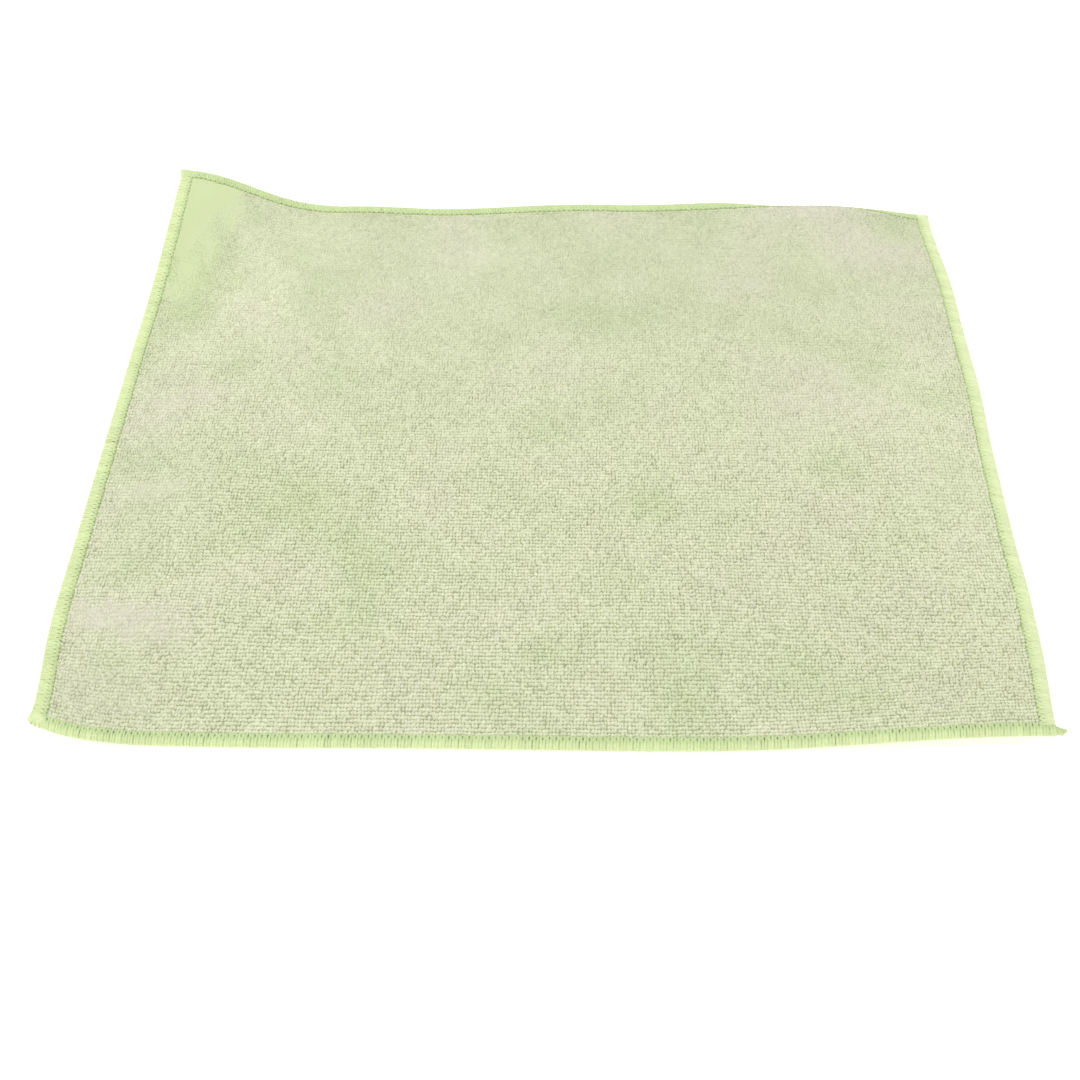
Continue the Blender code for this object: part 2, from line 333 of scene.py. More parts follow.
# Ovals where the pile is different: middle, half sizes, turn in degrees, strength
rosyPatches = [  # the colour of its tips, pinkish beige: partly the pile's own colour, partly painted sheen where it meets the view at a grazing angle
    dict(a=-0.153, b=-0.113, halfA=0.032, halfB=0.014, turn=-16, strength=1.0),
    dict(a=-0.117, b=-0.084, halfA=0.016, halfB=0.010, turn=20, strength=0.4),
    dict(a=-0.149, b=-0.037, halfA=0.022, halfB=0.012, turn=0, strength=0.8),
    dict(a=-0.146, b=0.020, halfA=0.026, halfB=0.010, turn=35, strength=0.6),
    dict(a=-0.084, b=0.049, halfA=0.020, halfB=0.014, turn=0, strength=0.3),
    dict(a=-0.039, b=-0.008, halfA=0.022, halfB=0.014, turn=-20, strength=0.45),
    dict(a=-0.031, b=0.134, halfA=0.026, halfB=0.014, turn=10, strength=0.6),
    dict(a=0.119, b=0.024, halfA=0.036, halfB=0.030, turn=20, strength=0.6),
    dict(a=0.153, b=-0.028, halfA=0.018, halfB=0.022, turn=20, strength=0.7),
    dict(a=0.137, b=0.144, halfA=0.030, halfB=0.014, turn=-10, strength=0.7),
    dict(a=0.116, b=0.163, halfA=0.022, halfB=0.009, turn=0, strength=1.0),
]
pressedPatches = [  # where the loops lie down more, without a change of colour
    dict(a=-0.170, b=0.010, halfA=0.040, halfB=0.130, turn=0, strength=0.45),
    dict(a=-0.142, b=0.135, halfA=0.036, halfB=0.050, turn=-25, strength=0.60),
    dict(a=-0.160, b=-0.150, halfA=0.040, halfB=0.030, turn=0, strength=0.35),
    dict(a=0.165, b=0.010, halfA=0.034, halfB=0.110, turn=0, strength=0.3),
    dict(a=-0.153, b=-0.113, halfA=0.026, halfB=0.011, turn=-16, strength=0.62),
    dict(a=-0.149, b=-0.037, halfA=0.016, halfB=0.009, turn=0, strength=0.6),
]
ruffledPatches = [  # where the loops stand in no order
    dict(a=-0.142, b=-0.140, halfA=0.050, halfB=0.045, turn=0, strength=0.7),
    dict(a=-0.150, b=-0.050, halfA=0.030, halfB=0.060, turn=0, strength=0.4),
    dict(a=0.145, b=-0.060, halfA=0.036, halfB=0.100, turn=0, strength=0.4),
]
# Painted light: lighter loops on the lifted back-left corner, which tilts away from the lamp; also lighter
# loops along the right side
paintedLightPatches = [
    dict(a=0.157, b=-0.015, halfA=0.032, halfB=0.110, turn=0, strength=0.55),
    dict(a=-0.130, b=0.122, halfA=0.038, halfB=0.064, turn=-12, strength=1.0),
]
patchEdge = 1.5  # half sizes from its middle at which a patch has faded out
patchNoise = {"cell": 0.005, "least": 0.55, "more": 0.9}  # which makes the patches ragged
backLying = {"strength": 0.85, "from": -0.03, "reach": 0.19}  # the loops lie down more towards the back
greenFacingCorner = {  # the smooth corner at the back left, painted green where it is lifted to face the camera
    "sideA": -1, "sideB": 1,
    "reachA": 0.041,
    "reachB": 0.106,
    "roundness": 1.5,
    "full": 0.50,  # share of the reach where it starts to fade
    "end": 1.26,
    "strength": 0.97,
    "noiseCell": 0.007,
    "noise": 0.30,
}
pressing = {  # what becomes of the loops where a patch is at its full strength, as shares of an upright loop
    "rosyLower": 0.2,
    "lyingLower": 0.45,
    "greenFacingLower": 0.86,
    "lyingNarrower": 0.25,
    "lyingLonger": 0.7,
    "looser": 3,  # how much further they are turned and off their places, where they lie or are ruffled
}
gapShadeLifting = {"rosy": 0.3, "lying": 0.85, "most": 0.9, "greenFacingAndBlotches": 2}  # how far the painted shade in the gaps between them is taken away
# Soft blotches all over
mottling = {"cells": (0.022, 0.026), "rosyShare": 0.65, "rosy": 0.75, "greenFacingAndBlotches": -0.55}
tones = {"lying": -2.0, "ruffled": -0.4, "paintedLight": 1.1}  # added to each loop's own tone from 0 to 1


# The strongest of several oval patches at each place, each faded from its middle, made ragged by noise
def patchStrength(a, b, patches):
    strength = np.zeros(np.shape(a))
    for patch in patches:
        strength = np.maximum(strength, patch["strength"] * fade(ovalShare(a, b, patch) / patchEdge))
    ragged = patchNoise["least"] + patchNoise["more"] * softNoise(a, b, patchNoise["cell"], seed=6)
    return np.clip(strength * ragged, 0, 1)


# How flat the loops lie: the pressed patches, or a straight ramp towards the back where that is more
def lyingStrength(a, b):
    ramp = backLying["strength"] * np.clip((b - backLying["from"]) / backLying["reach"], 0, 1)
    return np.maximum(patchStrength(a, b, pressedPatches), ramp)


# The smooth corner, painted green: full up to a superellipse round the tip, then faded, with an uneven edge
# from noise
def greenFacingStrength(a, b):
    share = cornerShare(a, b, greenFacingCorner, greenFacingCorner["roundness"])
    share = share + greenFacingCorner["noise"] * (softNoise(a, b, greenFacingCorner["noiseCell"], seed=9) - 0.5)
    fading = (share - greenFacingCorner["full"]) / (greenFacingCorner["end"] - greenFacingCorner["full"])
    return greenFacingCorner["strength"] * fade(fading)


# How far the painted shade in the gaps between the loops is taken away, so that they are as light as the
# loops
def gapShadeLift(rosy, lying, greenFacingAndBlotches):
    soft = np.minimum(gapShadeLifting["rosy"] * rosy + gapShadeLifting["lying"] * lying, gapShadeLifting["most"])
    return np.maximum(soft, np.minimum(gapShadeLifting["greenFacingAndBlotches"] * greenFacingAndBlotches, 1))


# Level of the ground's lower and upper face: straight ramps from the pinched cloth to the full thickness
def groundLevels(inset):
    pinched = np.clip((cloth["edging"] + cloth["pinchRamp"] - inset) / cloth["pinchRamp"], 0, 1)
    low = cloth["groundLow"] + (cloth["pinchLow"] - cloth["groundLow"]) * pinched
    high = cloth["groundHigh"] + (cloth["pinchHigh"] - cloth["groundHigh"]) * pinched
    return low, high


fullRise = 0.55  # share of a loop's height from which it has the colour of its tip


# From the root's colour, darker with painted shade between the loops, to the tip's by the height, then rosy
# (partly painted sheen) or green (painted where the lifted corner faces the camera, and in blotches) by their
# patches, and shaded by the fibres, by each loop's own tone with painted light in its patches, and by streaks
# where it lies down
def pileMaterial():
    made, wire, surface = newMaterial("loopPile", {
        "Roughness": 0.92, "Specular IOR Level": 0.25,
        "Sheen Weight": 0.35, "Sheen Roughness": 0.45, "Sheen Tint": (1.0, 0.93, 0.86, 1),
    })
    rise = wire.attribute("rise")
    tone = wire.attribute("tone")
    colour = wire.mix(pile["root"], pile["tip"], rise.between(0.0, fullRise))
    colour = wire.mix(colour, pile["rosy"], wire.attribute("rosy") * rise)
    colour = wire.mix(colour, pile["greenFacingAndBlotches"], wire.attribute("greenFacingAndBlotches"))
    fibres = wire.noise(wire.attribute("yarn", vector=True), 1.0, 3, 0.6)
    streaks = (wire.noise(wire.place((1, 0.3, 1)), 1100, 3, 0.7) - 0.5) * wire.attribute("lying")
    colour = colour.shaded(tone * 0.08 + fibres * 0.24 + streaks * 0.35 + 0.84)
    connect(colour, surface, "Base Color")
    bump = wire.node("Bump", None, {"Height": fibres, "Strength": 0.7, "Distance": 0.00025})
    connect(bump, surface, "Normal")
    return made


# A loop is a little hipped mound: six points round its foot and two on its crest, across it, along it and up
shoulder, crest = pile["shoulder"], pile["crest"]
formU = np.array([0, 0.5, 0.5, 0, -0.5, -0.5, 0, 0])
formV = np.array([-0.5, -shoulder, shoulder, 0.5, shoulder, -shoulder, -crest, crest])
formW = np.array([0, 0, 0, 0, 0, 0, 1, 1])
topFaces = np.array([
    (0, 1, 6), (1, 7, 6), (1, 2, 7), (2, 3, 7), (3, 4, 7), (4, 5, 7), (5, 6, 7), (5, 0, 6),
])
footFaces = np.array([(5, 4, 3, 2, 1, 0)])
loopPointCount = len(formW)


# How the pile is at each loop's place: the strengths of its patches, how far its gaps are filled, how loosely
# and how tall it stands, and its rosy and green shares with soft blotches
def pileState(a, b):
    rosy, greenFacingAndBlotches = patchStrength(a, b, rosyPatches), greenFacingStrength(a, b)
    lying, ruffled = lyingStrength(a, b), patchStrength(a, b, ruffledPatches)
    pressed = 1 - pressing["rosyLower"] * rosy - pressing["lyingLower"] * lying
    cells = mottling["cells"]
    mottle = softNoise(a, b, cells[0], seed=7) - softNoise(a, b, cells[1], seed=8)
    return {
        "lying": lying,
        "ruffled": ruffled,
        "paintedLight": patchStrength(a, b, paintedLightPatches),
        "shadeLifted": gapShadeLift(rosy, lying, greenFacingAndBlotches),
        "loose": 1 + pressing["looser"] * np.maximum(lying, ruffled),
        "pressed": np.minimum(pressed, 1 - pressing["greenFacingLower"] * greenFacingAndBlotches),
        "rosy": np.clip(rosy * mottling["rosyShare"] + mottle * mottling["rosy"], 0, 1),
        "greenFacingAndBlotches": np.clip(greenFacingAndBlotches + mottle * mottling["greenFacingAndBlotches"], 0, 1),
    }


# The points of all loops, as loops by points by x, y and z: the form scaled, leaned, turned and moved to its
# place on the flat cloth, each loop a little unlike its neighbours, and then laid in the cloth's folds
def loopPoints(centreA, centreB, state, dice):
    count = len(centreA)
    lying, loose, pressed = state["lying"], state["loose"][:, None], state["pressed"]
    pitchA, pitchB = cloth["side"] / pile["ridges"], cloth["side"] / pile["rows"]
    rough = dice.normal(0, 1, (8, count))
    sizeSteps = np.clip(rough, -pile["sizesLimit"], pile["sizesLimit"])
    heightSteps = np.clip(rough, -pile["heightsLimit"], pile["heightsLimit"])
    wide = (1 + pile["sizes"] * sizeSteps[0]) * (1 - pressing["lyingNarrower"] * lying)
    long = (1 + pile["lengths"] * sizeSteps[7]) * (1 + pressing["lyingLonger"] * lying)
    unevenU = 1 + pile["pointShake"] * dice.normal(0, 1, (count, loopPointCount))
    unevenV = 1 + pile["pointShake"] * dice.normal(0, 1, (count, loopPointCount))
    u = formU * unevenU * (pitchA * pile["width"] * wide)[:, None]
    v = formV * unevenV * (pitchB * pile["length"] * long)[:, None]
    leanU, leanV = pile["lean"][0] * rough[1][:, None], pile["lean"][1] * rough[2][:, None]
    u += formW * leanU + formW * pile["crestShake"] * dice.normal(0, 1, (count, loopPointCount))
    v += formW * leanV
    turn = np.radians(pile["turn"]) * loose * heightSteps[3][:, None]
    shiftA = pitchA * pile["shake"][0] * rough[4][:, None]
    shiftB = pitchB * pile["shake"][1] * loose * rough[5][:, None]
    a = centreA[:, None] + u * np.cos(turn) - v * np.sin(turn) + shiftA
    b = centreB[:, None] + u * np.sin(turn) + v * np.cos(turn) + shiftB
    a += pile["wander"][0] * 2 * (softNoise(centreA, centreB, pile["wanderCell"], seed=3) - 0.5)[:, None]
    b += pile["wander"][1] * 2 * (softNoise(centreA, centreB, pile["wanderCell"], seed=4) - 0.5)[:, None]
    tall = pile["height"] * pressed * (1 + pile["heights"] * pressed * heightSteps[6])
    tall *= pile["hills"][0] + pile["hills"][1] * softNoise(centreA, centreB, pile["hillCell"], seed=5)
    inset = half - np.maximum(np.abs(centreA), np.abs(centreB))
    footLevel = groundLevels(inset)[1][:, None] - pile["sunk"]
    unevenW = 1 + pile["crestLevels"] * dice.normal(0, 1, (count, loopPointCount))
    return layCloth(a, b, footLevel + tall[:, None] * formW * unevenW)


# The loop's points seen from above, in a bake map's cell, from this corner on and this wide and long
def loopPlaces(corner, size):
    return np.array(corner) + (np.stack([formU, formV], axis=-1) + 0.5) * size


# Bake map of loops: each has its own cell, its top in the first four fifths and its foot in the rest
def loopMap(cellA, cellB):
    corner = np.stack([cellA, cellB], axis=-1)[:, None, :]
    cellSize = 1 / np.array([cellA.max() + 1, cellB.max() + 1])
    topMap = loopPlaces((0.06, 0.06), (0.72, 0.88))[topFaces].reshape(-1, 2)
    footMap = loopPlaces((0.86, 0.06), (0.08, 0.88))[footFaces].reshape(-1, 2)
    return np.concatenate([((corner + form) * cellSize).reshape(-1, 2) for form in (topMap, footMap)])


# One piece of pile, from its loops' middles on the flat cloth and their cells in its bake map
def makePile(name, centreA, centreB, cellA, cellB, material):
    count = len(centreA)
    dice = np.random.default_rng(pile["seed"] + count)
    state = pileState(centreA, centreB)
    points = loopPoints(centreA, centreB, state, dice).reshape(-1, 3)
    first = loopPointCount * np.arange(count)[:, None, None]
    faces = [(first + topFaces).reshape(-1, 3), (first + footFaces).reshape(-1, 6)]
    # Each loop has a stretch of yarn of its own, which the fibres' noise follows
    yarnU = formU * pile["yarnAcross"] + formW * pile["yarnUp"][0]
    yarnW = formW * pile["yarnUp"][1] + pile["yarnApart"] * np.arange(count)[:, None]
    yarn = np.stack(np.broadcast_arrays(yarnU, formV * pile["yarnAlong"], yarnW), axis=-1)
    tone = dice.random(count) + tones["lying"] * state["lying"]
    tone = tone + tones["ruffled"] * state["ruffled"] + tones["paintedLight"] * state["paintedLight"]
    attributes = {
        # Where the painted shade between the loops is lifted, their feet take more of the tip's colour
        "rise": np.maximum(formW, fullRise * state["shadeLifted"][:, None]).ravel(),
        "tone": np.repeat(tone, loopPointCount),
        "rosy": np.repeat(state["rosy"], loopPointCount),
        "greenFacingAndBlotches": np.repeat(state["greenFacingAndBlotches"], loopPointCount),
        "lying": np.repeat(state["lying"] * (1 - state["greenFacingAndBlotches"]), loopPointCount),
        "yarn": yarn.reshape(-1, 3),
    }
    piece = makePiece(name, points, faces, material, attributes, loopMap(cellA, cellB))
    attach(piece, "root")
    return piece


# A loop stands at each crossing of a ridge and a row inside the edging. Each quarter of the cloth is a piece.
def makePilePieces():
    material = pileMaterial()
    ridge = (np.arange(pile["ridges"]) + 0.5) / pile["ridges"]
    row = (np.arange(pile["rows"]) + 0.5) / pile["rows"]
    placeA, placeB = np.meshgrid(ridge * cloth["side"] - half, row * cloth["side"] - half)
    inside = np.maximum(np.abs(placeA), np.abs(placeB)) < half - pile["inset"]
    pieces = []
    for name, backHalf, rightHalf in [
        ("pileFrontLeft", False, False), ("pileFrontRight", False, True),
        ("pileBackLeft", True, False), ("pileBackRight", True, True),
    ]:
        chosen = inside & ((placeB > 0) == backHalf) & ((placeA > 0) == rightHalf)
        rows, ridges = np.nonzero(chosen)
        cellA, cellB = ridges - ridges.min(), rows - rows.min()
        pieces.append(makePile(name, placeA[chosen], placeB[chosen], cellA, cellB, material))
    return pieces


ground = {
    "lines": 104,  # of its mesh, each way, inside the edging
    "tucked": 0.0003,  # how far under the edging one more line lies
    # the upper face: dark, painted shade between the loops
    "colour": (0.445, 0.492, 0.278, 1),
    "under": (0.640, 0.690, 0.420, 1),
    "shadeLifted": (0.725, 0.757, 0.543, 1),  # the ground without its painted shade, under loops that lie down
    "paintedEdgeLight": (0.700, 0.800, 0.460, 1),  # painted light beside the edging, against the shade under the stitches' inner ends
    "stitchedReach": 0.0010,
    "stitchedFade": 0.0008,
}


# The upper face is dark with painted shade between the loops, lifted under loops that lie down, painted green
# in the corner and bright with painted light beside the edging. The underside shows rounded loops, the
# inverse of the distances in a smooth Voronoi pattern, with painted shade in their hollows.
def groundMaterial():
    made, wire, surface = newMaterial("knitGround", {
        "Roughness": 0.95, "Specular IOR Level": 0.2, "Sheen Weight": 0.2, "Sheen Roughness": 0.5,
    })
    flat = wire.attribute("flatPlace", vector=True)
    cells = {"Vector": flat, "Scale": 1.0, "Smoothness": 0.4}
    loops = wire.node("TexVoronoi", {"feature": "SMOOTH_F1"}, cells)
    under = wire.attribute("under")
    hollow = loops.between(0.25, 0.75)
    # Painted shade in the hollows between the underside's loops
    underColour = wire.mix(ground["under"], ground["colour"], hollow * 0.6)
    colour = wire.mix(ground["colour"], underColour, under)
    colour = wire.mix(colour, ground["shadeLifted"], wire.attribute("shadeLifted"))
    colour = wire.mix(colour, pile["greenFacingAndBlotches"], wire.attribute("greenFacingAndBlotches"))
    colour = wire.mix(colour, ground["paintedEdgeLight"], wire.attribute("paintedEdgeLight"))
    fibres = wire.noise(wire.place(), 3000, 3, 0.6)
    connect(colour.shaded(fibres * 0.24 + 0.88), surface, "Base Color")
    height = (1 - hollow) * under + fibres * 0.25
    bump = wire.node("Bump", None, {"Height": height, "Strength": 0.8, "Distance": 0.0006})
    connect(bump, surface, "Normal")
    return made


# A closed sheet: a square net of lines at its upper and its lower level, joined round the cut edge
def makeGround():
    band = cloth["edging"] - half
    inner = np.linspace(band + cloth["pinchRamp"], -(band + cloth["pinchRamp"]), ground["lines"])
    outer = np.array([cloth["cutInset"] - half, band - ground["tucked"]])
    lines = np.concatenate([outer, inner, -outer[::-1]])
    count = len(lines)
    a, b = (each.ravel() for each in np.meshgrid(lines, lines))
    inset = half - np.maximum(np.abs(a), np.abs(b))
    low, high = groundLevels(inset)
    points = np.concatenate([layCloth(a, b, low), layCloth(a, b, high)])
    number = np.arange(count * count).reshape(count, count)
    square = np.stack([number[:-1, :-1], number[:-1, 1:], number[1:, 1:], number[1:, :-1]], axis=-1)
    square = square.reshape(-1, 4)
    top = count * count
    loop = np.concatenate([number[0, :-1], number[:-1, -1], number[-1, :0:-1], number[:0:-1, 0]])
    after = np.roll(loop, -1)
    rimFaces = np.stack([loop, after, top + after, top + loop], axis=-1)
    faces = np.concatenate([square[:, ::-1], square + top, rimFaces])
    pitch = np.array([cloth["side"] / pile["ridges"], cloth["side"] / pile["rows"], 1])
    flat = np.stack([a, b, np.zeros_like(a)], axis=-1) / pitch
    rosy, greenFacingAndBlotches = patchStrength(a, b, rosyPatches), greenFacingStrength(a, b)
    share = np.stack([a, b], axis=-1) / cloth["side"] + 0.5
    upper = np.stack([share[:, 0] * 0.5, share[:, 1]], axis=-1)
    lower = np.stack([share[:, 0] * 0.5 + 0.5, share[:, 1]], axis=-1)
    paintedEdgeLight = (cloth["edging"] + ground["stitchedReach"] - inset) / ground["stitchedFade"]
    attributes = {
        "flatPlace": np.concatenate([flat, flat + (0.5, 0.5, 4)]),  # the underside's loops lie elsewhere
        "under": np.repeat([1.0, 0.0], top),
        "paintedEdgeLight": np.tile(np.clip(paintedEdgeLight, 0, 1), 2),
        "greenFacingAndBlotches": np.tile(greenFacingAndBlotches, 2),
        "shadeLifted": np.tile(gapShadeLift(rosy, lyingStrength(a, b), greenFacingAndBlotches), 2),
    }
    # Bake map: the upper face in the left half, the lower one in the right half, the rim on the upper outline
    bakeMap = np.concatenate([lower, upper])[faces.ravel()]
    rimCorners = slice(faces[:2 * len(square)].size, None)
    bakeMap[rimCorners] = upper[faces.ravel()[rimCorners] % top]
    piece = makePiece("knitGround", points, [faces], groundMaterial(), attributes, bakeMap)
    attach(piece, "root")
    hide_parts("terry_sheet")
    return piece


tailSide = 0  # the front run ends in a tail of thread, where the others turn the corner
edging = {
    "stitches": 157,  # along a whole side
    "turn": 7,  # stitches that fan round a corner
    "depth": 0.0052,  # from the outer edge to the stitches' inner ends
    "starts": (0.0002, 0.0016, 0.0002, 0.0002),  # how far each side's run starts back into the corner
    "tailGap": 0.0006,  # from the front run's end to the edge
    "tailReach": (0.86, 0.62),  # how far in its last two stitches reach, as shares of the others
    "fanReach": 0.80,  # and those that fan
    "fanWidth": 0.8,  # of a stitch that fans, at its outer end
    "fanNarrowing": 0.45,
    "fixedInset": 0.0022,  # from where a stitch's reach is measured
    "movedFrom": 0.35,  # the share of the depth from which it changes a stitch
    "hooks": (0, 0, 0.14, 0),  # how much the corner at each side's end is drawn out to a point
    "hookSpread": 0.22,  # radians
    "squareness": 30,  # of the corner that a fan fills, 2 for a round one
    "sides": 6,  # of a thread's section
    "halfWidth": 0.00067,
    "plumpSides": (1.03, 1.0, 1.14, 1.06),  # how much wider the threads are on each side
    "halfThickness": 0.00040,
    "coreInsets": (0.0013, 0.0046),  # the band's middle line in section, which a thread's face turns from
    "coreLevel": 0.0014,
    "slants": (0.10, 1.0, -0.3, 0.2),  # how far a stitch's ends are apart along each side, in stitches
    "slantFade": 6,  # stitches over which the slant comes in
    "shake": 0.020,  # in stitches
    "reachShake": 0.035,
    "thicknessShake": 0.07,
    "seed": 23,
    "outer": (0.765, 0.872, 0.462, 1),
    "inner": (0.620, 0.752, 0.375, 1),
    # painted shade on the threads' flanks that turn down and in, between the threads
    "paintedShade": (0.600, 0.740, 0.370, 1),
    "holeShade": (0.300, 0.400, 0.160, 1),  # painted shade of the needle holes, one in each stitch
    "holeAt": 0.76,  # of the depth
    "holeWidth": 0.06,
    "upperFrom": 0.0020,  # the level over which a thread is on the upper face
    # on each side, how strong the needle holes' painted shade is
    "holeSides": (0.42, 0.14, 0.0, 0.28),
    "flankShadeLift": (0.3, 0.3, 1.1, 0.65),  # how much less painted shade the threads' flanks have on each side
    "sunlit": (0.900, 0.970, 0.620, 1),
    "sunlitSides": (0.0, 0.8, 0.0, 0.0),  # how much of it each side has at its outer edge
    "innerSides": (0.30, -0.30, 0.42, -0.22),  # painted shade by side: how much further out the darker inner colour comes on each side; where negative, painted light
    "yarnRound": 3,  # the fibres' noise round a thread
    "yarnApart": 7,  # from one thread to the next
    "yarnAlong": 1100,  # for each metre of a thread
}
# One stitch of the looper thread, from its lower inner end round the edge to its upper inner end: how far it
# is off the middle in stitches, the inset from the outer edge and the level. It comes back mirrored.
stitchRoute = np.array([
    (0.08, 0.00520, 0.00105), (0.26, 0.00461, 0.00062), (0.29, 0.00381, 0.00046), (0.21, 0.00286, 0.00042),
    (0.22, 0.00190, 0.00042), (0.22, 0.00105, 0.00058), (0.22, 0.00056, 0.00098), (0.22, 0.00044, 0.00140),
    (0.22, 0.00056, 0.00182), (0.22, 0.00105, 0.00224), (0.22, 0.00190, 0.00240), (0.23, 0.00300, 0.00246),
    (0.32, 0.00396, 0.00242), (0.30, 0.00466, 0.00238), (0.20, 0.00510, 0.00230), (0.00, 0.00520, 0.00224),
])
# The chain of thread at the front right corner: each strand's half width, and its route as the way past the
# end of the side, the inset and the level
tailStrands = [
    dict(half=0.00088, route=[
        (-0.0030, 0.0034, 0.0017), (-0.0006, 0.0031, 0.0018), (0.0012, 0.0026, 0.0016),
        (0.0032, 0.0021, 0.0014),
    ]),
    dict(half=0.00078, route=[
        (-0.0026, 0.0014, 0.0014), (-0.0004, 0.0012, 0.0014), (0.0009, 0.0010, 0.0013),
        (0.0020, 0.0010, 0.0011),
    ]),
    dict(half=0.00062, route=[
        (-0.0022, 0.0022, 0.0021), (-0.0002, 0.0019, 0.0021), (0.0010, 0.0015, 0.0017),
        (0.0020, 0.0020, 0.0010), (0.0028, 0.0026, 0.0009),
    ]),
    dict(half=0.00062, route=[
        (-0.0024, 0.0026, 0.0010), (-0.0004, 0.0030, 0.0009), (0.0008, 0.0026, 0.0008),
        (0.0016, 0.0017, 0.0008),
    ]),
]
tailTaper = {"slow": 0.80, "ends": (0.70, 0.35)}  # a strand's width before its last two steps, and there
tailCoreLevel = -0.002  # under the table, so that the flat sides of its strands face up


# A smooth line through the points, sampled evenly in its parameter: Catmull-Rom in each span
def smoothLine(points, count):
    padded = np.concatenate([2 * points[:1] - points[1:2], points, 2 * points[-1:] - points[-2:-1]])
    place = np.linspace(0, len(points) - 1 - 1e-9, count)
    span = np.floor(place).astype(int)
    share = (place - span)[:, None]
    before, start, end, after = (padded[span + step] for step in range(4))
    return start + 0.5 * share * (end - before + share * (
        2 * before - 5 * start + 4 * end - after + share * (3 * (start - end) + after - before)))


# Tubes carried along paths: an oval section, turned so that its flat side faces away from the band's middle.
# paths is tubes by steps by (along, inset, level), and the result has the section's points as one more axis.
def threadTubes(paths, halfWidths, halfThicknesses, cores):
    tangent = np.gradient(paths, axis=1)
    tangent /= np.linalg.norm(tangent, axis=-1, keepdims=True)
    core = paths.copy()
    core[..., 1] = np.clip(paths[..., 1], *edging["coreInsets"])
    core[..., 2] = cores
    outward = (paths - core) * (0, 1, 1)
    outward -= (outward * tangent).sum(-1, keepdims=True) * tangent
    outward /= np.linalg.norm(outward, axis=-1, keepdims=True) + 1e-9
    sideways = np.cross(tangent, outward)
    angle = 2 * np.pi * np.arange(edging["sides"]) / edging["sides"]
    wide = sideways[:, :, None, :] * np.cos(angle)[:, None] * halfWidths[..., None, None]
    thick = outward[:, :, None, :] * np.sin(angle)[:, None] * halfThicknesses[..., None, None]
    return paths[:, :, None, :] + wide + thick, angle


# Faces of tubes with closed ends
def tubeFaces(tubes, steps, ring):
    number = np.arange(tubes * steps * ring).reshape(tubes, steps, ring)
    turn = np.roll(number, -1, axis=2)
    wall = np.stack([number[:, :-1], turn[:, :-1], turn[:, 1:], number[:, 1:]], axis=-1).reshape(-1, 4)
    ends = np.concatenate([number[:, 0, ::-1], number[:, -1]])
    return wall, ends


# Bake map of tubes: each has its own cell, with its length by its turn, and a strip for its two ends
def tubeMap(tubes, steps, angle):
    columns = int(np.ceil(np.sqrt(tubes)))
    cell = np.stack([np.arange(tubes) % columns, np.arange(tubes) // columns], axis=-1)
    lengthShare, turnShare = np.meshgrid(
        np.arange(steps) / (steps - 1), np.arange(len(angle) + 1) / len(angle), indexing="ij")
    grid = np.stack([0.04 + lengthShare * 0.82, 0.05 + turnShare * 0.9], axis=-1)
    wallMap = np.stack([grid[:-1, :-1], grid[:-1, 1:], grid[1:, 1:], grid[1:, :-1]], axis=2).reshape(-1, 2)
    ringMap = np.stack([0.93 + 0.03 * np.cos(angle), 0.25 + 0.15 * np.sin(angle)], axis=-1)
    cellSize = 1 / np.array([columns, cell[:, 1].max() + 1])
    corner = cell[:, None, :]
    forms = [wallMap, ringMap[::-1], ringMap + (0, 0.45)]
    return np.concatenate([((corner + form) * cellSize).reshape(-1, 2) for form in forms])


# From the outer to the inner colour by the way into the cloth, with painted shade and light that differ by
# side, brighter with painted light in the sun, painted shade between the threads and darkest painted shade in
# the needle holes, and shaded by the fibres and by each stitch's own tone
def threadMaterial():
    made, wire, surface = newMaterial("overlockThread", {
        "Roughness": 0.8, "Specular IOR Level": 0.3,
        "Sheen Weight": 0.25, "Sheen Roughness": 0.5, "Sheen Tint": (0.97, 1.0, 0.85, 1),
    })
    colour = wire.mix(edging["outer"], edging["inner"], wire.attribute("innerShare").between(0.45, 0.90))
    colour = wire.mix(colour, edging["sunlit"], wire.attribute("sunlit"))
    colour = wire.mix(edging["paintedShade"], colour, wire.attribute("outside").between(-0.75, 0.35))
    colour = wire.mix(colour, edging["holeShade"], wire.attribute("holeShade"))
    yarn = wire.attribute("yarn", vector=True)
    fibres = wire.noise(yarn, 1.0, 3, 0.65)
    colour = colour.shaded(fibres * 0.20 + wire.attribute("tone") * 0.08 + 0.86)
    connect(colour, surface, "Base Color")
    bump = wire.node("Bump", None, {"Height": fibres, "Strength": 0.9, "Distance": 0.0004})
    connect(bump, surface, "Normal")
    return made


# Along, inset and level of points on a stitch, turned round its foot by its angle. A stitch that fans round a
# corner is lengthened by a superellipse, so that together they fill the square corner.
def fanned(points, feet, angles, hook):
    angles = angles[:, None, None]
    power = edging["squareness"]
    stretch = (np.cos(angles) ** power + np.sin(angles) ** power) ** (-1 / power)
    stretch = stretch * (1 + hook * np.exp(-((angles - np.pi / 4) / edging["hookSpread"]) ** 2))
    out = (edging["depth"] - points[..., 1]) * stretch
    along = feet[:, None, None] + out * np.sin(angles) + points[..., 0] * np.cos(angles)
    inset = edging["depth"] - out * np.cos(angles) + points[..., 0] * np.sin(angles)
    return along, inset


